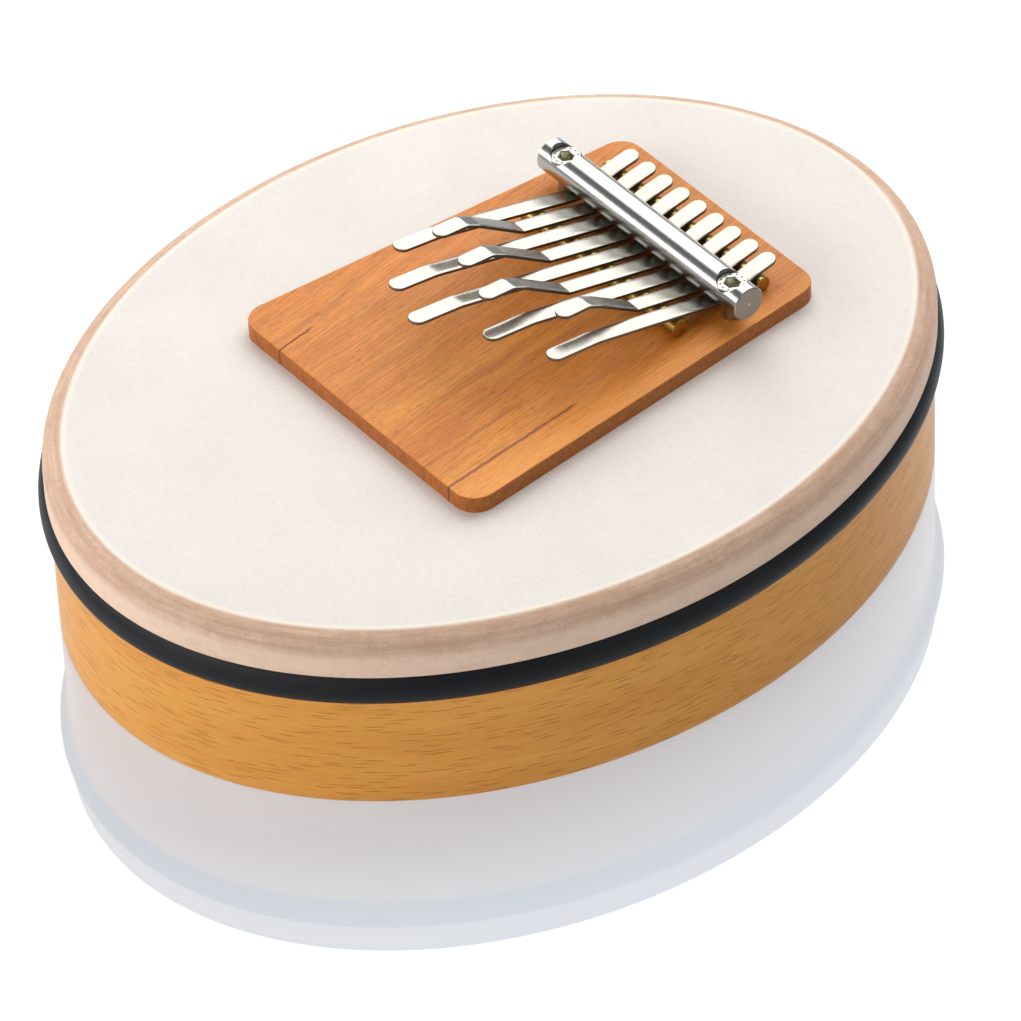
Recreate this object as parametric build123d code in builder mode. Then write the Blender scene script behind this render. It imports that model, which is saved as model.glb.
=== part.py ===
from build123d import *
import math
import os

# Nine-tine mbira on a trapezoid board, mounted on the skin of an oval frame drum.
# Millimetres. +Z up, origin on the floor at the centre of the oval,
# +Y along the oval's long axis towards the pressure bar, tine tips towards -Y.
# The board and all that is on it are drawn square, about the middle tine, and then
# put on the skin a little off the oval's centre line and turned by under a degree.

# oval hoop
hoop_x = 101.4  # half of the short outside axis
hoop_y = 130.0  # half of the long outside axis
hoop_wall = 9.0
hoop_top = 57.1
hoop_round = 5.4  # outer top edge, where the skin folds over
hoop_inner_round = 2.0
hoop_foot = 0.6  # small chamfer round the foot

# skin and rubber band
skin_t = 0.8
skin_hem = 36.8
band_low = 36.5
band_high = 45.7
band_proud = 1.8  # bulge beyond the skin

# board
skin_top = hoop_top + skin_t
board_t = 5.1
board_top = skin_top + board_t
board_x = -1.1  # centre of the board, from the middle tine
board_front = -46.0
board_back = 82.0
board_front_half = 51.2
board_back_half = 41.6
board_corner = 6.8
board_edge = 0.4
board_place = Location((-0.75, 0, 0), (0, 0, 0.8))

# rods and bar
groove = 0.2  # rods sit this deep in the board
front_rod_r = 2.8
front_rod_y = 39.2
front_rod_half = 33.3
rear_rod_r = 2.3
rear_rod_y = 68.0
rear_rod_half = 33.5
bar_r = 5.0
bar_y = 55.5
bar_half = 42.4
bar_gap = 0.02  # over the tines

# bar screws and their threaded inserts
screw_x = 35.5
head_r = 4.25
head_h = 5.0
head_rise = 3.35  # top of the heads over the bar's axis
shank_r = 2.45
shank_low = 58.9
socket_af = 4.0
socket_depth = 2.6
insert_r = 3.2
insert_low = 58.5
insert_proud = 0.1
thread_r = 2.5

# tines
tine_w = 5.2
tine_t = 1.0
tine_pitch = 7.367  # at the bar
tine_fan = 0.0046  # sideways drift of each tine, per tine from the middle one
tail_end = 75.2
root_end = 35.5  # where the clamped part ends and the free blade starts
blade_gap = 0.06
tine_rise = 0.252
tail_rise = 0.15
rear_clear = 1.035  # how far above the rear rod the underside bends, in rod radii
end_round = 2.5
kink_bend = 2.0
valley_bend = 20.0
tip_bend = 14.0
tip_rise = 0.13
kink_rise = 0.687
crest_rise = 0.53
crest_len = 4.1
end_rise = 0.08

# long straight tines: number -> start of the bent tip, end of the tine
long_tines = {
    1: (5.6, -7.7),
    3: (-7.0, -20.8),
    5: (-10.6, -26.3),
    7: (1.5, -13.2),
    9: (11.7, -3.9),
}
# short raised tines: number -> foot of the kink, its crest, end of the tine
raised_tines = {
    2: (27.9, 13.4, 0.0),
    4: (25.1, 10.1, -3.2),
    6: (19.6, 5.1, -8.2),
    8: (31.1, 18.8, 5.6),
}

front_rod_z = board_top - groove + front_rod_r
rear_rod_z = board_top - groove + rear_rod_r
front_touch = front_rod_z + front_rod_r * (1 + tine_rise**2) ** 0.5
rear_touch = rear_rod_z + rear_rod_r * rear_clear  # on its steeper side the tine just clears the rod

# the tines are bent down between the rods, and the bar lies in their valley
valley_z = front_touch - tine_rise * (bar_y - front_rod_y)
rear_slope = (rear_touch - valley_z) / (rear_rod_y - bar_y)
half_turn = (math.atan(tine_rise) + math.atan(rear_slope)) / 2
valley_lift = valley_bend * (1 / math.cos(half_turn) - 1)
bar_z = valley_z + valley_lift + tine_t + bar_gap + bar_r
head_top = bar_z + head_rise

os.makedirs("parts", exist_ok=True)


def save(builder, name):
    builder.part.label = name
    export_step(builder.part, "parts/" + name + ".step")


def save_on_board(builder, name):
    placed = builder.part.moved(board_place)
    placed.label = name
    export_step(placed, "parts/" + name + ".step")


# ---------------------------------------------------------------- oval drum

with BuildPart() as drum_core:
    with BuildSketch():
        Ellipse(hoop_x, hoop_y)
    extrude(amount=hoop_top)
    fillet(drum_core.faces().sort_by(Axis.Z)[-1].edges(), radius=hoop_round)

with BuildPart() as hoop:
    add(drum_core.part)
    with BuildSketch():
        Ellipse(hoop_x - hoop_wall, hoop_y - hoop_wall)
    extrude(amount=hoop_top, mode=Mode.SUBTRACT)
    top_rim = hoop.faces().sort_by(Axis.Z)[-1].edges()
    fillet(top_rim.sort_by(SortBy.LENGTH)[0], radius=hoop_inner_round)
    foot = hoop.faces().sort_by(Axis.Z)[0].edges()
    chamfer(foot, length=hoop_foot)
save(hoop, "hoop")

with BuildPart() as skin:
    with BuildSketch(Plane.XY.offset(skin_hem)):
        Ellipse(hoop_x + skin_t, hoop_y + skin_t)
    extrude(amount=skin_top - skin_hem)
    fillet(skin.faces().sort_by(Axis.Z)[-1].edges(), radius=hoop_round + skin_t)
    add(drum_core.part, mode=Mode.SUBTRACT)
save(skin, "skin")

band_mid = (band_low + band_high) / 2
band_x = hoop_x + skin_t
band_y = hoop_y + skin_t
with BuildPart() as rubber_band:
    with BuildLine(Plane.XY.offset(band_mid)) as band_path:
        EllipticalCenterArc((0, 0), band_x, band_y, start_angle=0, arc_size=360)
    with BuildSketch(Plane.XZ):
        with BuildLine():
            ThreePointArc((band_x, band_low), (band_x + band_proud, band_mid), (band_x, band_high))
            Line((band_x, band_high), (band_x, band_low))
        make_face()
    sweep(path=band_path.line, is_frenet=True)
save(rubber_band, "rubber_band")

# -------------------------------------------------------------------- board

with BuildPart() as board:
    with BuildSketch(Plane.XY.offset(skin_top)):
        with BuildLine():
            Polyline(
                (board_x - board_front_half, board_front),
                (board_x + board_front_half, board_front),
                (board_x + board_back_half, board_back),
                (board_x - board_back_half, board_back),
                close=True,
            )
        make_face()
    extrude(amount=board_t)
    fillet(board.edges().filter_by(Axis.Z), radius=board_corner)
    fillet(board.faces().sort_by(Axis.Z)[-1].edges(), radius=board_edge)
    with Locations((0, front_rod_y, front_rod_z)):
        Cylinder(front_rod_r, 2 * front_rod_half, rotation=(0, 90, 0), mode=Mode.SUBTRACT)
    with Locations((0, rear_rod_y, rear_rod_z)):
        Cylinder(rear_rod_r, 2 * rear_rod_half, rotation=(0, 90, 0), mode=Mode.SUBTRACT)
    with BuildSketch(Plane.XY.offset(insert_low)):
        with Locations((-screw_x, bar_y), (screw_x, bar_y)):
            Circle(insert_r)
    extrude(amount=board_top - insert_low, mode=Mode.SUBTRACT)
save_on_board(board, "board")

# ------------------------------------------------------------- rods and bar


def rod(radius, half, y, z):
    with BuildPart() as made:
        with BuildSketch(Plane.YZ.offset(-half)):
            with Locations((y, z)):
                Circle(radius)
        extrude(amount=2 * half)
        chamfer(made.edges().filter_by(GeomType.CIRCLE), length=0.3)
    return made


save_on_board(rod(front_rod_r, front_rod_half, front_rod_y, front_rod_z), "front_rod")
save_on_board(rod(rear_rod_r, rear_rod_half, rear_rod_y, rear_rod_z), "rear_rod")

bar_blank = rod(bar_r, bar_half, bar_y, bar_z)
head_seat = head_top - head_h
with BuildPart() as pressure_bar:
    add(bar_blank.part)
    with BuildSketch(Plane.XY.offset(head_seat)):
        with Locations((-screw_x, bar_y), (screw_x, bar_y)):
            Circle(head_r + 0.1)
    extrude(amount=2 * bar_r, mode=Mode.SUBTRACT)
    with BuildSketch(Plane.XY.offset(bar_z - 2 * bar_r)):
        with Locations((-screw_x, bar_y), (screw_x, bar_y)):
            Circle(shank_r + 0.15)
    extrude(amount=3 * bar_r, mode=Mode.SUBTRACT)
save_on_board(pressure_bar, "pressure_bar")

with BuildPart() as bar_screws:
    with BuildSketch(Plane.XY.offset(shank_low)):
        with Locations((-screw_x, bar_y), (screw_x, bar_y)):
            Circle(shank_r)
    extrude(amount=head_seat - shank_low)
    with BuildSketch(Plane.XY.offset(head_seat)):
        with Locations((-screw_x, bar_y), (screw_x, bar_y)):
            Circle(head_r)
    extrude(amount=head_h)
    head_rims = bar_screws.edges().filter_by(GeomType.CIRCLE).group_by(Axis.Z)[-1]
    chamfer(head_rims, length=0.3)
    with BuildSketch(Plane.XY.offset(head_top - socket_depth)):
        with Locations((-screw_x, bar_y), (screw_x, bar_y)):
            RegularPolygon(socket_af / 2, 6, major_radius=False)
    extrude(amount=socket_depth, mode=Mode.SUBTRACT)
    mouths = bar_screws.edges().filter_by(GeomType.LINE).filter_by(Axis.Z, reverse=True).group_by(Axis.Z)[-1]
    chamfer(mouths, length=0.25)
save_on_board(bar_screws, "bar_screws")

with BuildPart() as inserts:
    with BuildSketch(Plane.XY.offset(insert_low)):
        with Locations((-screw_x, bar_y), (screw_x, bar_y)):
            Circle(insert_r)
            Circle(thread_r, mode=Mode.SUBTRACT)
    extrude(amount=board_top + insert_proud - insert_low)
save_on_board(inserts, "inserts")

# -------------------------------------------------------------------- tines


def tine_plane(number):
    step = number - 5
    drift = tine_fan * step
    return Plane(origin=(tine_pitch * step, bar_y, 0), x_dir=(-drift, 1, 0), z_dir=(1, drift, 0))


def lower_line(y):
    # underside of the straight stretch in front of the front rod
    return (y - bar_y, front_touch + tine_rise * (front_rod_y - y))


def outline_block(number, low_y, high_y, at_tail):
    # upright block with the outline of a flat strip that has one round end
    step = number - 5
    level = Plane(origin=(tine_pitch * step, bar_y, skin_top), x_dir=(1, tine_fan * step, 0))
    with BuildPart() as block:
        with BuildSketch(level) as outline:
            with Locations((0, (low_y + high_y) / 2 - bar_y)):
                Rectangle(tine_w, high_y - low_y)
            corners = outline.vertices().sort_by(Axis.Y)
            fillet(corners[-2:] if at_tail else corners[:2], radius=end_round)
        extrude(amount=50)
    return block


def clamped_part(number):
    block = outline_block(number, root_end - 5, tail_end, True)
    with BuildPart() as made:
        with BuildSketch(tine_plane(number)):
            with BuildLine():
                FilletPolyline(
                    (tail_end + 1 - bar_y, rear_touch + tail_rise * (tail_end + 1 - rear_rod_y)),
                    (rear_rod_y - bar_y, rear_touch),
                    (0, valley_z),
                    lower_line(root_end),
                    radius=valley_bend,
                )
                offset(amount=tine_t, side=Side.RIGHT)
            make_face()
        extrude(amount=tine_w, both=True)
        add(block.part, mode=Mode.INTERSECT)
    return made


def blade(number):
    start = root_end - blade_gap
    if number in long_tines:
        bend, end = long_tines[number]
        foot = lower_line(bend)
        tip = (end - 1 - bar_y, foot[1] + tip_rise * (bend - end + 1))
        points = [lower_line(start), foot, tip]
        radius = tip_bend
    else:
        kink, crest, end = raised_tines[number]
        foot = lower_line(kink)
        top = (crest - bar_y, foot[1] + kink_rise * (kink - crest))
        brow = (top[0] - crest_len, top[1] + crest_rise * crest_len)
        tip = (end - 1 - bar_y, brow[1] + end_rise * (brow[0] - end + 1 + bar_y))
        points = [lower_line(start), foot, top, brow, tip]
        radius = kink_bend
    block = outline_block(number, end, root_end + 5, False)
    with BuildPart() as made:
        with BuildSketch(tine_plane(number)):
            with BuildLine():
                FilletPolyline(*points, radius=radius)
                offset(amount=tine_t, side=Side.RIGHT)
            make_face()
        extrude(amount=tine_w, both=True)
        add(block.part, mode=Mode.INTERSECT)
    return made


for number in range(1, 10):
    save_on_board(clamped_part(number), "tine_%d_clamped" % number)
    save_on_board(blade(number), "tine_%d_blade" % number)
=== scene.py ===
import math

import bpy
from mathutils import Matrix, Vector, noise


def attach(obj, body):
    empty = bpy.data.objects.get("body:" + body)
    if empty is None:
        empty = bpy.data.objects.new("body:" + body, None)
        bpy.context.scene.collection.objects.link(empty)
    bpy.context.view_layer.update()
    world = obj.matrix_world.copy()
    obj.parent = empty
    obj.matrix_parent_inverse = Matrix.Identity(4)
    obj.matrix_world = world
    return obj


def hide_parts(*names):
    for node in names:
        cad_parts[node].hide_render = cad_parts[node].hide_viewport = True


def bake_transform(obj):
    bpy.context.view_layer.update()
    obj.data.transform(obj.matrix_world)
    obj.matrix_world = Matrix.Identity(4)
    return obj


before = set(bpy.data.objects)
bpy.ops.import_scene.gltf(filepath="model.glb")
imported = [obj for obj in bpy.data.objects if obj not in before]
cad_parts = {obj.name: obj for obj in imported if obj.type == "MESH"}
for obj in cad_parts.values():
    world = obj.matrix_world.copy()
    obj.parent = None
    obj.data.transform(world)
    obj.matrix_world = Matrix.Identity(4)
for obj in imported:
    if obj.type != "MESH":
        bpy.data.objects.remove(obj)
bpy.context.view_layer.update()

# A nine-note mbira on an oval drum. The hoop, the skin, the rubber ring and the tines are new meshes.
# The board, rods, bar, screws and inserts are the CAD's own nodes, with materials.

MM = 0.001

# ------------------------------------------------------------------ sizes, in millimetres

HOOP_X = 101.4  # half axes of the wooden oval
HOOP_Y = 130.0
HOOP_WALL = 9.0
HOOP_TOP = 57.1
HOOP_ROUND = 5.4  # outer top edge, under the skin
HOOP_INNER_ROUND = 2.0
HOOP_FOOT_CUT = 0.9  # the foot's corners are rounded from this far off
HOOP_FOOT_EASE = 0.25  # by way of a point this far in
SKIN_T = 0.8
SKIN_TOP = HOOP_TOP + SKIN_T
SKIN_SHARE = 0.98  # of its thickness is drawn, so that it stays off the hoop
BAND_LOW = 36.5
BAND_HIGH = 45.7
BAND_PROUD = 1.8
BAND_BACK = 0.6  # its back's edges are this far in from its front's
HEM = BAND_LOW + 0.1
BOARD_T = 5.1
BOARD_TOP = SKIN_TOP + BOARD_T

# the board and all that is on it are drawn square, about the middle tine
BOARD_X = -0.75
BOARD_TURN = math.radians(0.8)
BOARD_FRONT = -46.0

FRONT_ROD_Y = 39.2
FRONT_ROD_R = 2.8
REAR_ROD_Y = 68.0
REAR_ROD_R = 2.3
GROOVE = 0.2
BAR_Y = 55.5
BAR_R = 5.0
BAR_HALF = 42.4
BAR_GAP = 0.02
SCREW_X = 35.5
DOTS = 12  # round the face of a screw's head
DOT_RING = 3.3

MIDDLE_TINE = 5
TINE_W = 5.2
TINE_T = 1.0
TINE_BEVEL = 0.16
TINE_PITCH = 7.367
TINE_FAN = 0.0046  # sideways drift of each tine, per tine from the middle one
TAIL_END = 75.2
SPLIT_Y = 35.5  # where the CAD's held part ends and its free blade starts
TINE_RISE = 0.252
TAIL_RISE = 0.15
REAR_CLEAR = 1.035  # height of the underside over the rear rod's axis, in rod radii
TIP_RISE = 0.13
KINK_RISE = 0.687
CREST_RISE = 0.53
CREST_LEN = 4.1
END_RISE = 0.08
END_RADIUS = 2.5
VALLEY_BEND = 20.0  # radii of the bends, from here on
TIP_BEND = 22.0
KINK_BEND = 2.6
CREST_BEND = 2.2
BROW_BEND = 3.0

# tine number: where the tip bends, where it ends
LONG_TINES = {
    1: (5.6, -7.7),
    3: (-7.0, -20.8),
    5: (-10.6, -26.3),
    7: (1.5, -13.2),
    9: (11.7, -3.9),
}
# tine number: foot of the kink, its crest, end of the tine
RAISED_TINES = {
    2: (27.9, 13.4, 0.0),
    4: (25.1, 10.1, -3.2),
    6: (19.6, 5.1, -8.2),
    8: (31.1, 18.8, 5.6),
}


def on_board(x, y, z):
    """A point of the board's own square frame, put where the board lies."""
    c, s = math.cos(BOARD_TURN), math.sin(BOARD_TURN)
    return (c * x - s * y + BOARD_X, s * x + c * y, z)


# the tines are bent down between the rods, and the bar lies in their valley
front_rod_z = BOARD_TOP - GROOVE + FRONT_ROD_R
rear_rod_z = BOARD_TOP - GROOVE + REAR_ROD_R
front_touch = front_rod_z + FRONT_ROD_R * math.sqrt(1 + TINE_RISE**2)
rear_touch = rear_rod_z + REAR_ROD_R * REAR_CLEAR
valley_z = front_touch - TINE_RISE * (BAR_Y - FRONT_ROD_Y)
rear_slope = (rear_touch - valley_z) / (REAR_ROD_Y - BAR_Y)
half_turn = (math.atan(TINE_RISE) + math.atan(rear_slope)) / 2
valley_lift = VALLEY_BEND * (1 / math.cos(half_turn) - 1)
bar_z = valley_z + valley_lift + TINE_T + BAR_GAP + BAR_R


def linear(*levels):
    """A screen colour of three levels, 0 to 255, as a linear colour."""
    shares = [level / 255 for level in levels]
    return (*(c / 12.92 if c <= 0.04045 else ((c + 0.055) / 1.055) ** 2.4 for c in shares), 1.0)


# ------------------------------------------------------------------ shader helper


class Shader:
    """A material's node tree, with short calls for the nodes used here."""

    def __init__(self, name):
        self.material = bpy.data.materials.new(name)
        self.material.use_nodes = True
        self.nodes = self.material.node_tree.nodes
        self.links = self.material.node_tree.links
        self.nodes.clear()
        out = self.nodes.new("ShaderNodeOutputMaterial")
        self.bsdf = self.nodes.new("ShaderNodeBsdfPrincipled")
        self.links.new(self.bsdf.outputs[0], out.inputs["Surface"])
        self.normal = None

    def put(self, socket, value):
        if isinstance(value, bpy.types.NodeSocket):
            self.links.new(value, socket)
        elif value is not None:
            socket.default_value = value

    def set(self, **values):
        for name, value in values.items():
            self.put(self.bsdf.inputs[name.replace("_", " ")], value)

    def coord(self, kind="Object"):
        return self.nodes.new("ShaderNodeTexCoord").outputs[kind]

    def attribute(self, name):
        node = self.nodes.new("ShaderNodeAttribute")
        node.attribute_name = name
        return node.outputs["Fac"]

    def split(self, vector):
        node = self.nodes.new("ShaderNodeSeparateXYZ")
        self.put(node.inputs[0], vector)
        return node.outputs

    def join(self, x=0.0, y=0.0, z=0.0):
        node = self.nodes.new("ShaderNodeCombineXYZ")
        for socket, value in zip(node.inputs, (x, y, z)):
            self.put(socket, value)
        return node.outputs[0]

    def turned(self, vector, angle):
        """The vector turned about z."""
        node = self.nodes.new("ShaderNodeVectorRotate")
        node.rotation_type = "Z_AXIS"
        node.inputs["Angle"].default_value = angle
        self.put(node.inputs["Vector"], vector)
        return node.outputs[0]

    def scaled(self, vector, scale, shift=(0, 0, 0)):
        node = self.nodes.new("ShaderNodeMapping")
        self.put(node.inputs["Vector"], vector)
        node.inputs["Scale"].default_value = scale
        node.inputs["Location"].default_value = shift
        return node.outputs[0]

    def noise(self, vector, scale=1.0, detail=3.0, rough=0.5, bend=0.0):
        node = self.nodes.new("ShaderNodeTexNoise")
        self.put(node.inputs["Vector"], vector)
        node.inputs["Scale"].default_value = scale
        node.inputs["Detail"].default_value = detail
        node.inputs["Roughness"].default_value = rough
        node.inputs["Distortion"].default_value = bend
        return node.outputs["Fac"]

    def cells(self, vector):
        """Distance to the nearest of one scattered point a unit square."""
        node = self.nodes.new("ShaderNodeTexVoronoi")
        node.voronoi_dimensions = "2D"
        self.put(node.inputs["Vector"], vector)
        node.inputs["Scale"].default_value = 1.0
        return node.outputs["Distance"]

    def math(self, kind, a, b=0.5):
        node = self.nodes.new("ShaderNodeMath")
        node.operation = kind
        self.put(node.inputs[0], a)
        self.put(node.inputs[1], b)
        return node.outputs[0]

    def length(self, a, b):
        squares = self.math("ADD", self.math("MULTIPLY", a, a), self.math("MULTIPLY", b, b))
        return self.math("SQRT", squares)

    def fit(self, value, low, high, to_low=0.0, to_high=1.0, smooth=False):
        node = self.nodes.new("ShaderNodeMapRange")
        node.interpolation_type = "SMOOTHSTEP" if smooth else "LINEAR"
        self.put(node.inputs["Value"], value)
        for name, number in (("From Min", low), ("From Max", high), ("To Min", to_low), ("To Max", to_high)):
            node.inputs[name].default_value = number
        return node.outputs["Result"]

    def ramp(self, fac, *stops):
        """Colours by fac; each stop is its place and the three levels of its colour."""
        node = self.nodes.new("ShaderNodeValToRGB")
        self.put(node.inputs[0], fac)
        band = node.color_ramp
        while len(band.elements) < len(stops):
            band.elements.new(0.5)
        for element, (place, *levels) in zip(band.elements, stops):
            element.position = place
            element.color = linear(*levels)
        return node.outputs["Color"]

    def mix(self, fac, a, b):
        node = self.nodes.new("ShaderNodeMix")
        node.data_type = "RGBA"
        self.put(node.inputs["Factor"], fac)
        self.put(node.inputs[6], a)
        self.put(node.inputs[7], b)
        return node.outputs[2]

    def bump(self, height, depth, strength):
        """Adds relief to what is there already; depth is in metres."""
        node = self.nodes.new("ShaderNodeBump")
        node.inputs["Distance"].default_value = depth
        node.inputs["Strength"].default_value = strength
        self.put(node.inputs["Height"], height)
        if self.normal is not None:
            self.links.new(self.normal, node.inputs["Normal"])
        self.normal = node.outputs[0]
        self.put(self.bsdf.inputs["Normal"], self.normal)


# ------------------------------------------------------------------ materials


def board_coord(s):
    """Millimetres in the board's own square frame."""
    return s.turned(s.scaled(s.coord(), (1000, 1000, 1000), (-BOARD_X, 0, 0)), -BOARD_TURN)


def beech_material():
    # UV is in millimetres: u along the hoop, v up the wall
    s = Shader("beech")
    uv = s.coord("UV")
    broad = s.noise(s.scaled(uv, (0.010, 0.09, 1)), 1, 3, 0.5)
    base = s.ramp(broad, (0.25, 214, 143, 58), (0.5, 222, 153, 66), (0.78, 229, 164, 78))
    lines = s.noise(s.scaled(uv, (0.02, 1.5, 1)), 1, 5, 0.6)
    base = s.mix(s.fit(lines, 0.38, 0.72, 0, 0.26), base, linear(190, 120, 42))
    dash_a = s.cells(s.scaled(uv, (0.045, 1.0, 1)))
    dash_b = s.cells(s.scaled(uv, (0.075, 1.3, 1), (31, 7, 0)))
    flecks = s.math("MAXIMUM", s.fit(dash_a, 0.08, 0.17, 1, 0), s.fit(dash_b, 0.05, 0.14, 0.5, 0))
    base = s.mix(s.math("MULTIPLY", flecks, 0.66), base, linear(132, 76, 16))
    rays = s.noise(s.scaled(uv, (0.30, 0.9, 1), (3, 19, 0)), 1, 2, 0.5)
    base = s.mix(s.fit(rays, 0.62, 0.72, 0, 0.25), base, linear(236, 184, 110))
    s.set(Base_Color=base, Roughness=s.fit(lines, 0.3, 0.8, 0.36, 0.46), Specular_IOR_Level=0.18)
    s.set(Coat_Weight=0.10, Coat_Roughness=0.22)
    s.bump(flecks, -0.00003, 0.5)
    s.bump(lines, 0.00003, 0.35)
    return s.material


def skin_material():
    # "rim" is 0 in the middle of the flat skin, 1 at the crease, 2 at the outside of the rim
    # and 3 at the hem; "around" is the distance round the hoop in millimetres
    s = Shader("drum skin")
    place = s.coord()
    rim = s.attribute("rim")
    around = s.attribute("around")
    clouds = s.noise(place, 30, 5, 0.6)
    fibres = s.noise(s.scaled(place, (420, 1500, 900)), 1, 4, 0.65, 0.8)
    speckle = s.noise(place, 1300, 3, 0.7)
    flat = s.ramp(clouds, (0.3, 228, 221, 214), (0.52, 232, 226, 219), (0.74, 236, 229, 223))
    flat = s.mix(s.fit(fibres, 0.40, 0.75, 0, 0.30), flat, linear(208, 196, 186))
    flat = s.mix(s.fit(speckle, 0.52, 0.75, 0, 0.25), flat, linear(206, 195, 188))
    turns = s.join(s.math("MULTIPLY", around, 0.035), s.math("MULTIPLY", rim, 6.0))
    streaks = s.noise(turns, 1, 6, 0.62)
    tan = s.ramp(streaks, (0.30, 196, 158, 130), (0.5, 212, 177, 151), (0.70, 225, 195, 172))
    tan = s.mix(s.fit(speckle, 0.45, 0.75, 0, 0.35), tan, linear(166, 132, 108))
    mottle = s.noise(place, 230, 5, 0.7)
    tan = s.mix(s.fit(mottle, 0.46, 0.62, 0, 0.45), tan, linear(190, 154, 134))
    side = s.mix(s.fit(streaks, 0.35, 0.7, 0, 0.4), linear(232, 202, 178), linear(220, 184, 156))
    side = s.mix(s.fit(mottle, 0.48, 0.66, 0, 0.3), side, linear(206, 168, 146))
    side = s.mix(s.fit(speckle, 0.45, 0.78, 0, 0.25), side, linear(190, 158, 136))
    # painted highlight: a thin lighter line right at the crease, where the skin turns over the hoop's top
    # edge
    colour = s.mix(s.fit(rim, 0.99, 1.0, 0, 0.6, True), flat, linear(244, 234, 218))
    colour = s.mix(s.fit(rim, 1.02, 1.16, 0, 1, True), colour, tan)
    colour = s.mix(s.fit(rim, 1.70, 2.10, 0, 1, True), colour, side)
    s.set(Base_Color=colour, Roughness=0.72, Specular_IOR_Level=0.25)
    s.set(Subsurface_Weight=0.12, Subsurface_Radius=(0.6, 0.4, 0.25), Subsurface_Scale=0.0012)
    s.bump(fibres, 0.00005, 0.5)
    s.bump(speckle, 0.00002, 0.5)
    s.bump(clouds, 0.0004, 0.2)
    return s.material


def rubber_material():
    s = Shader("black rubber")
    place = s.coord()
    haze = s.noise(place, 60, 4, 0.6)
    dust = s.noise(place, 1800, 3, 0.6)
    colour = s.mix(s.fit(haze, 0.35, 0.75, 0, 0.5), (0.006, 0.006, 0.007, 1), (0.011, 0.012, 0.016, 1))
    s.set(Base_Color=colour, Roughness=s.fit(haze, 0.3, 0.8, 0.42, 0.55), Specular_IOR_Level=0.2)
    s.bump(dust, 0.00002, 0.4)
    return s.material


def dark_line(s, x, y, start, end, width, wobble):
    """1 on a thin wandering line from start to end (x, y) in the board's frame, and 0 off it."""
    lean = (end[0] - start[0]) / (end[1] - start[1])
    middle = s.math("ADD", s.math("MULTIPLY", s.math("SUBTRACT", y, start[1]), lean), start[0])
    off = s.math("ABSOLUTE", s.math("SUBTRACT", s.math("ADD", x, wobble), middle))
    on = s.fit(off, width * 0.4, width, 1.0, 0.0, True)
    return s.math("MULTIPLY", on, s.fit(y, end[1] - 4, end[1], 1.0, 0.0, True))


def cherry_material():
    s = Shader("cherry")
    place = board_coord(s)
    along = s.turned(place, math.radians(-7.5))  # the grain runs a little across the board
    sway = s.noise(s.scaled(along, (0.03, 0.012, 0.03)), 1, 2, 0.5)
    x, y, z = s.split(along)
    swayed = s.join(s.math("ADD", x, s.math("MULTIPLY", sway, 22.0)), y, z)
    wide = s.noise(s.scaled(swayed, (0.10, 0.006, 0.2)), 1, 4, 0.6)
    figure = s.noise(s.scaled(swayed, (0.55, 0.012, 0.5)), 1, 4, 0.55)
    fine = s.noise(s.scaled(along, (2.4, 0.07, 2.4)), 1, 5, 0.7)
    pores = s.noise(s.scaled(along, (3.0, 0.35, 3.0)), 1, 2, 0.5)
    glints = s.noise(s.scaled(along, (3.0, 0.09, 3.0), (9, 4, 0)), 1, 4, 0.65)
    colour = s.ramp(wide, (0.30, 204, 116, 36), (0.5, 222, 134, 44), (0.70, 234, 150, 56))
    colour = s.mix(s.fit(figure, 0.55, 0.72, 0, 0.45), colour, linear(166, 94, 34))
    colour = s.mix(s.fit(fine, 0.42, 0.66, 0, 0.60), colour, linear(160, 90, 34))
    colour = s.mix(s.fit(pores, 0.58, 0.68, 0, 0.50), colour, linear(122, 62, 22))
    colour = s.mix(s.fit(glints, 0.52, 0.70, 0, 0.45), colour, linear(246, 180, 100))
    bx, by = s.split(place)[:2]
    # painted sheen: the colour grows lighter towards the board's right edge, standing in for the brighter
    # light that falls there
    colour = s.mix(s.fit(bx, 34, 50, 0, 0.5, True), colour, linear(244, 166, 78))
    wobble = s.math("SUBTRACT", s.noise(s.scaled(place, (0, 0.4, 0)), 1, 3, 0.6), 0.5)
    short = dark_line(s, bx, by, (-33.2, BOARD_FRONT), (-35.2, -31.5), 0.42, wobble)
    long = s.math("MULTIPLY", dark_line(s, bx, by, (40.1, BOARD_FRONT), (36.0, 2.0), 0.62, wobble), 0.75)
    third = s.math("MULTIPLY", dark_line(s, bx, by, (29.7, BOARD_FRONT), (26.0, -8.0), 0.9, wobble), 0.32)
    lines = s.math("MAXIMUM", s.math("MAXIMUM", short, long), third)
    colour = s.mix(s.math("MULTIPLY", lines, 0.9), colour, linear(92, 38, 10))
    facing = s.split(s.nodes.new("ShaderNodeNewGeometry").outputs["Normal"])
    wall = s.fit(facing[2], 0.35, 0.85, 1.0, 0.0)
    front = s.fit(s.math("ABSOLUTE", facing[1]), 0.6, 0.9, 0.0, 1.0)
    side = s.mix(front, linear(166, 98, 34), linear(170, 97, 38))
    blotches = s.noise(s.scaled(place, (0.9, 0.9, 0.5)), 1, 4, 0.6)
    side = s.mix(s.fit(blotches, 0.4, 0.7, 0, 0.6), side, linear(116, 56, 22))
    side = s.mix(s.math("MULTIPLY", lines, 0.8), side, linear(70, 30, 14))
    colour = s.mix(wall, colour, side)
    s.set(Base_Color=colour, Roughness=s.fit(fine, 0.3, 0.8, 0.42, 0.56), Specular_IOR_Level=0.32)
    s.bump(fine, 0.00004, 0.4)
    s.bump(lines, -0.00012, 0.6)
    return s.material


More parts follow.
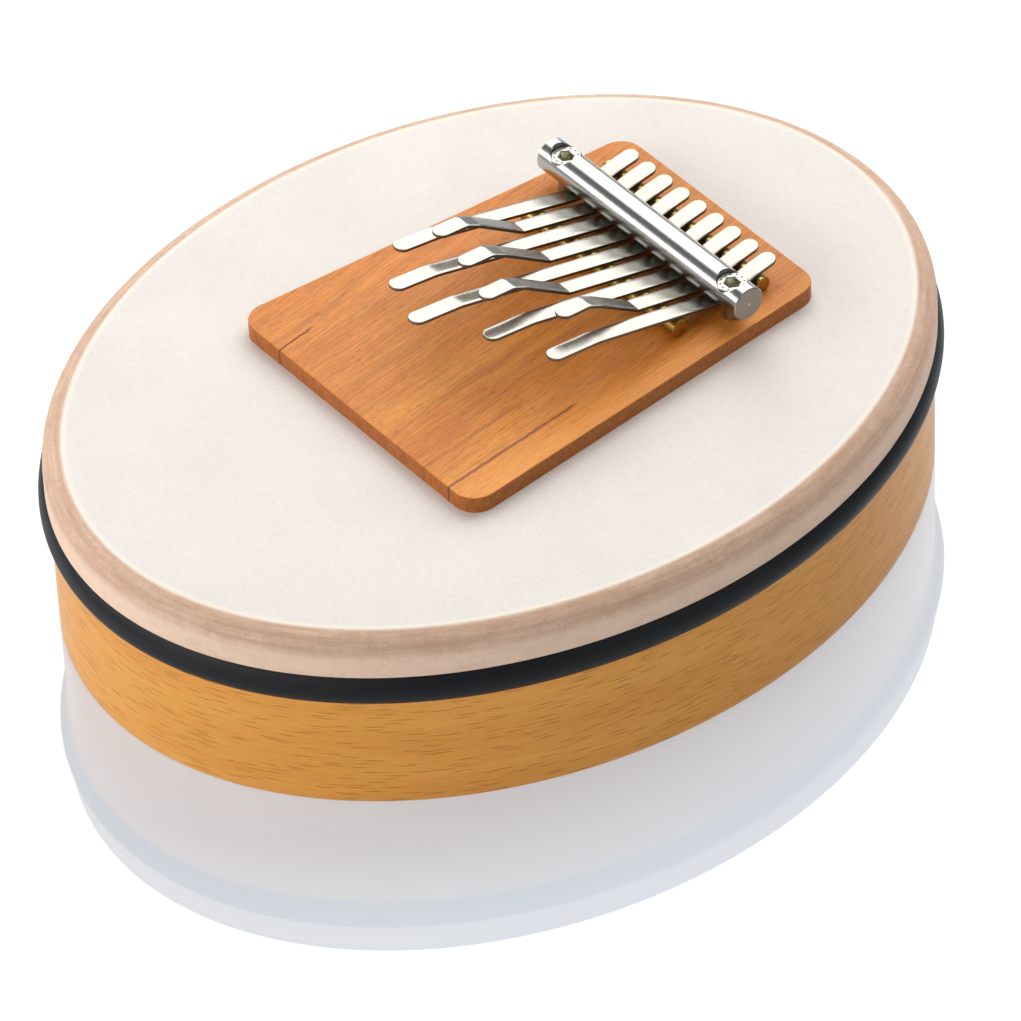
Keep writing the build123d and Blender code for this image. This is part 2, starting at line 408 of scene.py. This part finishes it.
def brass_material():
    s = Shader("brass")
    place = s.coord()
    rub = s.noise(s.scaled(place, (3000, 300, 300)), 1, 3, 0.5)
    stain = s.noise(place, 300, 3, 0.5)
    colour = s.mix(s.fit(stain, 0.35, 0.75), linear(186, 158, 84), linear(140, 112, 54))
    s.set(Base_Color=colour, Metallic=1.0, Roughness=s.fit(rub, 0.3, 0.7, 0.26, 0.36))
    s.bump(rub, 0.00001, 0.3)
    return s.material


def bar_material():
    # the ends are faced on a lathe, with fine rings and a small centre mark
    s = Shader("polished steel")
    x, y, z = s.split(board_coord(s))
    radius = s.length(s.math("SUBTRACT", y, BAR_Y), s.math("SUBTRACT", z, bar_z))
    rings = s.math("SINE", s.math("MULTIPLY", radius, 42.0))
    on_end = s.fit(s.math("ABSOLUTE", x), BAR_HALF - 0.12, BAR_HALF - 0.05)
    centre = s.fit(radius, 0.15, 0.4, 1.0, 0.0)
    turned = s.noise(s.join(s.math("MULTIPLY", x, 9.0), s.math("MULTIPLY", y, 0.1), 0.0), 1, 4, 0.6)
    colour = s.mix(on_end, linear(184, 184, 181), linear(150, 142, 130))
    colour = s.mix(s.math("MULTIPLY", on_end, centre), colour, linear(230, 226, 218))
    s.set(Base_Color=colour, Metallic=1.0)
    s.set(Roughness=s.math("ADD", s.fit(turned, 0.3, 0.7, 0.20, 0.27), s.math("MULTIPLY", on_end, 0.2)))
    s.bump(s.math("MULTIPLY", rings, on_end), 0.000006, 0.6)
    s.bump(turned, 0.000004, 0.5)
    return s.material


def screw_material():
    # a ring of plain dots stands in for the stamped marks of a cap screw
    s = Shader("screw steel")
    x, y = s.split(board_coord(s))[:2]
    rub = s.noise(s.coord(), 2600, 3, 0.6)
    dx = s.math("SUBTRACT", s.math("ABSOLUTE", x), SCREW_X)
    dy = s.math("SUBTRACT", y, BAR_Y)
    radius = s.length(dx, dy)
    beat = s.math("COSINE", s.math("MULTIPLY", s.math("ARCTAN2", dy, dx), DOTS))
    ring = s.fit(s.math("ABSOLUTE", s.math("SUBTRACT", radius, DOT_RING)), 0.22, 0.34, 1.0, 0.0)
    dots = s.math("MULTIPLY", ring, s.fit(beat, 0.55, 0.85))
    socket_highlight = s.fit(radius, 2.25, 2.4, 1.0, 0.0)  # the hexagon socket, painted lighter: a painted highlight on its floor
    colour = s.mix(dots, linear(176, 174, 167), linear(70, 66, 58))
    # painted highlight: the socket is drawn lighter than the rest of the head
    colour = s.mix(socket_highlight, colour, linear(206, 204, 188))
    s.set(Base_Color=colour, Metallic=1.0, Roughness=s.fit(rub, 0.3, 0.75, 0.24, 0.36))
    s.bump(dots, -0.00008, 0.7)
    s.bump(rub, 0.00001, 0.4)
    return s.material


def insert_material():
    s = Shader("insert steel")
    rub = s.noise(s.coord(), 1500, 3, 0.6)
    colour = s.mix(s.fit(rub, 0.3, 0.7), linear(206, 142, 84), linear(176, 112, 60))
    s.set(Base_Color=colour, Metallic=0.4, Roughness=0.55)
    s.bump(rub, 0.00002, 0.4)
    return s.material


def tine_material():
    # UV is in millimetres along and across the strip; "edge" is 1 on its narrow sides
    s = Shader("spring steel")
    uv = s.coord("UV")
    edge = s.attribute("edge")
    brushed = s.noise(s.scaled(uv, (0.25, 22, 1)), 1, 4, 0.6)
    cloudy = s.noise(s.scaled(uv, (0.10, 0.35, 1)), 1, 3, 0.5)
    colour = s.mix(s.fit(cloudy, 0.3, 0.75), linear(171, 168, 160), linear(163, 159, 149))
    colour = s.mix(s.math("MULTIPLY", edge, 0.8), colour, linear(96, 88, 74))
    rough = s.math("ADD", s.fit(brushed, 0.3, 0.7, 0.20, 0.28), s.math("MULTIPLY", edge, 0.2))
    s.set(Base_Color=colour, Metallic=1.0, Roughness=rough)
    s.bump(brushed, 0.000003, 0.5)
    return s.material


def floor_material():
    s = Shader("floor")
    s.set(Base_Color=linear(170, 175, 181), Roughness=0.6, Specular_IOR_Level=0.2)
    s.set(Coat_Weight=1.0, Coat_Roughness=0.02, Coat_IOR=2.0)
    s.set(Emission_Color=linear(236, 245, 255), Emission_Strength=0.45)
    return s.material


MATERIALS = {
    "beech": beech_material(),
    "drum_skin": skin_material(),
    "black_rubber": rubber_material(),
    "cherry": cherry_material(),
    "brass": brass_material(),
    "polished_steel": bar_material(),
    "screw_steel": screw_material(),
    "insert_steel": insert_material(),
    "spring_steel": tine_material(),
}


def smooth(obj, degrees):
    """Smooth shading, except over edges sharper than this."""
    obj.data.shade_smooth()
    obj.data.set_sharp_from_angle(angle=math.radians(degrees))


def cover(obj, slot_name):
    obj.data.materials.clear()
    obj.data.materials.append(MATERIALS[slot_name])


def finish_piece(obj, slot_name, body, *stands_for):
    """Material, slot, body (None for a piece over two bodies, which goes on none) and the CAD nodes it
    stands for.
    """
    cover(obj, slot_name)
    if body:
        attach(obj, body)
    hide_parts(*stands_for)


def add_values(obj, label, numbers):
    """One number a point, for a material to read."""
    attribute = obj.data.attributes.new(label, "FLOAT", "POINT")
    attribute.data.foreach_set("value", numbers)


def new_mesh(name, points, faces):
    mesh = bpy.data.meshes.new(name)
    mesh.from_pydata([tuple(c * MM for c in p) for p in points], [], faces)
    mesh.validate()
    mesh.update()
    obj = bpy.data.objects.new(name, mesh)
    bpy.context.scene.collection.objects.link(obj)
    return obj


# ------------------------------------------------------------------ oval pieces


def oval_point(turn, offset, height):
    """A point offset outwards from the hoop's outside face, at a share of a full turn."""
    angle = 2 * math.pi * turn
    c, s = math.cos(angle), math.sin(angle)
    nx, ny = c / HOOP_X, s / HOOP_Y
    size = math.hypot(nx, ny)
    return (HOOP_X * c + offset * nx / size, HOOP_Y * s + offset * ny / size, height)


OVAL_STEPS = 480
arc_at = [0.0]
for step in range(OVAL_STEPS):
    here = Vector(oval_point(step / OVAL_STEPS, 0, 0))
    there = Vector(oval_point((step + 1) / OVAL_STEPS, 0, 0))
    arc_at.append(arc_at[-1] + (there - here).length)


def oval_sweep(name, profile, lift=None):
    """A ring whose section is the closed list of (offset, height) points, with UVs in millimetres.
    lift(step) may raise the whole section."""
    count = len(profile)
    points, faces = [], []
    for step in range(OVAL_STEPS):
        raised = lift(step) if lift else 0.0
        for offset, height in profile:
            points.append(oval_point(step / OVAL_STEPS, offset, height + raised))
    for step in range(OVAL_STEPS):
        here, after = step * count, (step + 1) % OVAL_STEPS * count
        for index in range(count):
            follow = (index + 1) % count
            faces.append((here + index, after + index, after + follow, here + follow))
    obj = new_mesh(name, points, faces)
    run = [0.0]
    for index in range(count):
        a, b = profile[index], profile[(index + 1) % count]
        run.append(run[-1] + math.hypot(b[0] - a[0], b[1] - a[1]))
    layer = obj.data.uv_layers.new(name="UVMap").data
    corner = 0
    for step in range(OVAL_STEPS):
        for index in range(count):
            for u, v in ((step, index), (step + 1, index), (step + 1, index + 1), (step, index + 1)):
                layer[corner].uv = (arc_at[u], run[v])
                corner += 1
    smooth(obj, 32)
    return obj


def arc(cx, cy, radius, start, end, steps):
    """Points on an arc from start to end, in degrees."""
    out = []
    for i in range(steps + 1):
        a = math.radians(start + (end - start) * i / steps)
        out.append((cx + radius * math.cos(a), cy + radius * math.sin(a)))
    return out


def make_hoop():
    r, inner_r = HOOP_ROUND, HOOP_INNER_ROUND
    cut, ease = HOOP_FOOT_CUT, HOOP_FOOT_EASE
    outside = [(0.0, cut)] + [(0.0, z) for z in range(4, 50, 4)]
    top = arc(-r, HOOP_TOP - r, r, 0, 90, 8)
    inner = arc(-HOOP_WALL + inner_r, HOOP_TOP - inner_r, inner_r, 90, 180, 5)
    foot = [(-HOOP_WALL, cut), (-HOOP_WALL + ease, ease), (-HOOP_WALL + cut, 0.0)]
    foot += [(-cut, 0.0), (-ease, ease)]
    hoop = oval_sweep("beech_hoop", outside + top + inner + foot)
    finish_piece(hoop, "beech", "drum", "hoop")


def skin_profile():
    """Outer line of the skin from the flat to the hem, as (offset, height, rim value)."""
    r = HOOP_ROUND + SKIN_T
    start = SKIN_TOP - r
    bends, drops = 14, 8
    line = []
    for i, (offset, height) in enumerate(arc(SKIN_T - r, start, r, 90, 0, bends)):
        line.append((offset, height, 1 + i / bends))
    for i in range(1, drops + 1):
        line.append((SKIN_T, start + (HEM - start) * i / drops, 2 + i / drops))
    return line


def ragged_hem(step):
    """Height of the hem, which was cut by hand and hangs a little lower in places."""
    slow = noise.noise(Vector((arc_at[step] * 0.035, 3.1, 0)))
    quick = noise.noise(Vector((arc_at[step] * 0.16, 8.2, 0)))
    return HEM - max(0.0, 0.75 * (slow + 0.5 * quick))


def make_skin():
    line = skin_profile()
    rings = 26
    crease = line[0][0]
    layers = [((i + 1) / rings, crease, SKIN_TOP, (i + 1) / rings) for i in range(rings)]
    layers += [(1.0, offset, height, value) for offset, height, value in line[1:]]
    points, faces, rim = [], [], []
    for level, (scale, offset, height, value) in enumerate(layers):
        for step in range(OVAL_STEPS):
            z = ragged_hem(step) if level == len(layers) - 1 else height
            x, y, z = oval_point(step / OVAL_STEPS, offset, z)
            points.append((x * scale, y * scale, z))
            rim.append(value)
    centre = len(points)
    points.append((0, 0, SKIN_TOP))
    rim.append(0.0)
    for level in range(len(layers) - 1):
        a, b = level * OVAL_STEPS, (level + 1) * OVAL_STEPS
        for step in range(OVAL_STEPS):
            after = (step + 1) % OVAL_STEPS
            faces.append((a + step, b + step, b + after, a + after))
    for step in range(OVAL_STEPS):
        faces.append((centre, step, (step + 1) % OVAL_STEPS))
    skin = new_mesh("drum_skin", points, faces)
    add_values(skin, "rim", rim)
    add_values(skin, "around", arc_at[:OVAL_STEPS] * len(layers) + [0.0])
    skin.data.shade_smooth()
    thick = skin.modifiers.new("thickness", "SOLIDIFY")
    thick.thickness = SKIN_T * MM * SKIN_SHARE
    thick.offset = -1
    finish_piece(skin, "drum_skin", "drum", "skin")


def make_band():
    half = (BAND_HIGH - BAND_LOW) / 2
    middle = (BAND_HIGH + BAND_LOW) / 2
    radius = (half * half + BAND_PROUD * BAND_PROUD) / (2 * BAND_PROUD)
    swing = math.degrees(math.asin(half / radius))
    bulge = arc(SKIN_T + BAND_PROUD - radius, middle, radius, -swing, swing, 16)
    back = [(SKIN_T, BAND_HIGH - BAND_BACK), (SKIN_T, middle), (SKIN_T, BAND_LOW + BAND_BACK)]

    def lift(step):
        return 0.18 * noise.noise(Vector((arc_at[step] * 0.012, 5.0, 0)))

    band = oval_sweep("rubber_ring", bulge + back, lift)
    finish_piece(band, "black_rubber", "drum", "rubber_band")


# ------------------------------------------------------------------ tines


def straight(a, b, step):
    count = max(1, int((b - a).length / step))
    return [a + (b - a) * (i / count) for i in range(count)]


def rounded_line(corners, step=0.6):
    """Points along a line through the corners (y, z, radius), with each corner rounded to its radius."""
    path = []
    previous = Vector(corners[0][:2])
    for i in range(1, len(corners) - 1):
        corner = Vector(corners[i][:2])
        to_last = (Vector(corners[i - 1][:2]) - corner).normalized()
        to_next = (Vector(corners[i + 1][:2]) - corner).normalized()
        turn = math.pi - to_last.angle(to_next)
        reach = corners[i][2] * math.tan(turn / 2)
        start, end = corner + to_last * reach, corner + to_next * reach
        path += straight(previous, start, step)
        pieces = max(6, int(corners[i][2] * turn / step * 2))
        centre = corner + (to_last + to_next).normalized() * (corners[i][2] / math.cos(turn / 2))
        first, last = start - centre, end - centre
        sweep = first.angle_signed(last)
        for k in range(pieces):
            a = -sweep * k / pieces
            c, s = math.cos(a), math.sin(a)
            path.append(centre + Vector((first.x * c - first.y * s, first.x * s + first.y * c)))
        previous = end
    path += straight(previous, Vector(corners[-1][:2]), step)
    path.append(Vector(corners[-1][:2]))
    return path


def lower_z(y):
    """Height of the underside of a tine's rising part."""
    return front_touch + TINE_RISE * (FRONT_ROD_Y - y)


def tine_corners(number):
    """Underside of a tine from tail to tip, as (y, z, radius of the bend)."""
    corners = [
        (TAIL_END, rear_touch + TAIL_RISE * (TAIL_END - REAR_ROD_Y), 0),
        (REAR_ROD_Y, rear_touch, VALLEY_BEND),
        (BAR_Y, valley_z, VALLEY_BEND),
    ]
    if number in LONG_TINES:
        bend, end = LONG_TINES[number]
        corners.append((bend, lower_z(bend), TIP_BEND))
        corners.append((end, lower_z(bend) + TIP_RISE * (bend - end), 0))
    else:
        kink, crest, end = RAISED_TINES[number]
        top = lower_z(kink) + KINK_RISE * (kink - crest)
        brow = crest - CREST_LEN
        brow_z = top + CREST_RISE * CREST_LEN
        corners.append((kink, lower_z(kink), KINK_BEND))
        corners.append((crest, top, CREST_BEND))
        corners.append((brow, brow_z, BROW_BEND))
        corners.append((end, brow_z + END_RISE * (brow - end), 0))
    return corners


def end_shape(distance, full, radius):
    """Half width of a strip at a distance from an end rounded to a radius."""
    if distance >= radius:
        return full
    return full - radius + math.sqrt(max(0.0, radius**2 - (radius - distance) ** 2))


def tine_section(half, drop):
    """A strip's section, half wide and drop thick each way, as (across, lift, share of the narrow side)."""
    shares = (-1, -0.6, -0.2, 0.2, 0.6, 1)
    flat = max(half - TINE_BEVEL, 0.02)
    ease = TINE_BEVEL * 0.3
    corner = half - ease if half > TINE_BEVEL else half
    wall = max(drop - TINE_BEVEL, 0.0)
    side = [(corner, drop - ease, 0.6), (half, wall, 1.0), (half, -wall, 1.0), (corner, ease - drop, 0.6)]
    section = [(share * flat, drop, 0.0) for share in shares] + side
    section += [(-share * flat, -drop, 0.0) for share in shares]
    return section + [(-across, -lift, sharp) for across, lift, sharp in side]


def make_tine(number):
    step = number - MIDDLE_TINE
    fan = TINE_FAN * step
    line = rounded_line(tine_corners(number))
    run = [0.0]
    for a, b in zip(line, line[1:]):
        run.append(run[-1] + (b - a).length)
    total = run[-1]

    def at(distance):
        """The point of the underside at a distance from the tail, and the direction there."""
        i = 0
        while i < len(run) - 2 and run[i + 1] < distance:
            i += 1
        share = (distance - run[i]) / max(1e-9, run[i + 1] - run[i])
        before = line[max(i - 1, 0)]
        after = line[min(i + 2, len(line) - 1)]
        direction = (after - before).normalized()
        return line[i].lerp(line[i + 1], share), direction

    turns = (0, 6, 13, 21, 30, 40, 51, 63, 76, 90)
    near_end = [END_RADIUS * (1 - math.cos(math.radians(a))) for a in turns]
    clear = END_RADIUS + 0.2
    stations = near_end + [d for d in run if clear < d < total - clear]
    stations += [total - d for d in reversed(near_end)]
    points, faces, uvs, edge = [], [], [], []
    for distance in stations:
        from_end = min(distance, total - distance)
        drop = end_shape(from_end, TINE_T / 2, TINE_BEVEL)
        section = tine_section(end_shape(from_end, TINE_W / 2, END_RADIUS), drop)
        place, direction = at(distance)
        up = Vector((direction.y, -direction.x))
        if up.y < 0:
            up = -up
        centre = place + up * (TINE_T / 2)
        for across, lift, sharp in section:
            p = centre + up * lift
            along = p.x - BAR_Y
            x = TINE_PITCH * step - fan * along + across
            points.append(on_board(x, p.x + fan * across, p.y))
            uvs.append((distance, across + TINE_W))
            edge.append(sharp)
    size = len(section)
    last = len(points) - size
    for here in range(0, last, size):
        for k in range(size):
            after = (k + 1) % size
            faces.append((here + k, here + after, here + size + after, here + size + k))
    faces.append(tuple(range(size - 1, -1, -1)))
    faces.append(tuple(range(last, last + size)))
    tine = new_mesh("tine_%d" % number, points, faces)
    layer = tine.data.uv_layers.new(name="UVMap").data
    for loop in tine.data.loops:
        layer[loop.index].uv = uvs[loop.vertex_index]
    add_values(tine, "edge", edge)
    smooth(tine, 40)
    finish_piece(tine, "spring_steel", None, "tine_%d_clamped" % number, "tine_%d_blade" % number)
    x = TINE_PITCH * step - fan * (SPLIT_Y - BAR_Y)
    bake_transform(tine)


make_hoop()
make_skin()
make_band()
for number in range(1, 10):
    make_tine(number)

for node, slot_name in (
    ("board", "cherry"),
    ("front_rod", "brass"),
    ("rear_rod", "brass"),
    ("pressure_bar", "polished_steel"),
    ("bar_screws", "screw_steel"),
    ("inserts", "insert_steel"),
):
    cover(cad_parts[node], slot_name)
    smooth(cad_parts[node], 30)


# ------------------------------------------------------------------ floor, light and camera

# from here on in metres

FLOOR_HALF = 6.0
FLOOR_Z = -0.00005  # just clear of the hoop's foot, so that the two flat faces never mix

floor_mesh = bpy.data.meshes.new("floor")
floor_corners = [(x * FLOOR_HALF, y * FLOOR_HALF, FLOOR_Z) for x, y in ((-1, -1), (1, -1), (1, 1), (-1, 1))]
floor_mesh.from_pydata(floor_corners, [], [(0, 1, 2, 3)])
floor = bpy.data.objects.new("floor", floor_mesh)
bpy.context.scene.collection.objects.link(floor)
floor.data.materials.append(floor_material())

scene = bpy.context.scene
scene.view_settings.view_transform = "Standard"
world = bpy.data.worlds.new("studio")
scene.world = world
world.use_nodes = True
world.node_tree.nodes["Background"].inputs["Color"].default_value = (0.95, 0.97, 1.0, 1)
world.node_tree.nodes["Background"].inputs["Strength"].default_value = 0.17


def soft_box(name, direction, distance, width, height, radiance):
    """An area light that faces the drum; radiance is how bright its face looks, with 1 as white."""
    data = bpy.data.lights.new(name, "AREA")
    data.shape = "RECTANGLE"
    data.size = width
    data.size_y = height
    data.energy = radiance * math.pi * width * height
    lamp = bpy.data.objects.new(name, data)
    bpy.context.scene.collection.objects.link(lamp)
    aim = Vector(direction).normalized()
    lamp.location = aim * distance + Vector((0, 0, 0.05))
    lamp.rotation_euler = aim.to_track_quat("Z", "Y").to_euler()


# the metals lean only fore and aft, so they mirror the key and the strip but not the two fills
soft_box("key", (-0.42, 0.62, 0.68), 1.6, 2.5, 1.95, 2.75)
soft_box("strip", (-0.602, -0.729, 0.325), 1.6, 2.4, 0.52, 4.3)
soft_box("front", (0.25, -0.90, 0.34), 1.8, 1.7, 1.1, 2.3)
soft_box("right", (0.95, 0.25, 0.35), 1.8, 1.6, 1.0, 0.9)

LENS = 284.92
AZIMUTH = math.radians(53.93)
ELEVATION = math.radians(41.82)
ROLL = math.radians(-2.73)
DISTANCE = 2.1951
AIM = Vector((0.0, 0.0, 0.03))
MOVE_SIDE = 0.00386  # the camera's own sideways and downward moves, which put the drum in its place
MOVE_DOWN = 0.02151

flat = math.cos(ELEVATION)
back = Vector((math.sin(AZIMUTH) * flat, -math.cos(AZIMUTH) * flat, math.sin(ELEVATION)))
right = (-back).cross(Vector((0, 0, 1))).normalized()
up = right.cross(-back)
side = math.cos(ROLL) * right + math.sin(ROLL) * up
top = -math.sin(ROLL) * right + math.cos(ROLL) * up
camera_data = bpy.data.cameras.new("camera")
camera_data.lens = LENS
camera_data.sensor_width = 36
camera_data.clip_end = 30
camera = bpy.data.objects.new("camera", camera_data)
scene.collection.objects.link(camera)
place = AIM + back * DISTANCE + side * MOVE_SIDE - top * MOVE_DOWN
camera.matrix_world = Matrix(
    (
        (side.x, top.x, back.x, place.x),
        (side.y, top.y, back.y, place.y),
        (side.z, top.z, back.z, place.z),
        (0, 0, 0, 1),
    )
)
scene.camera = camera
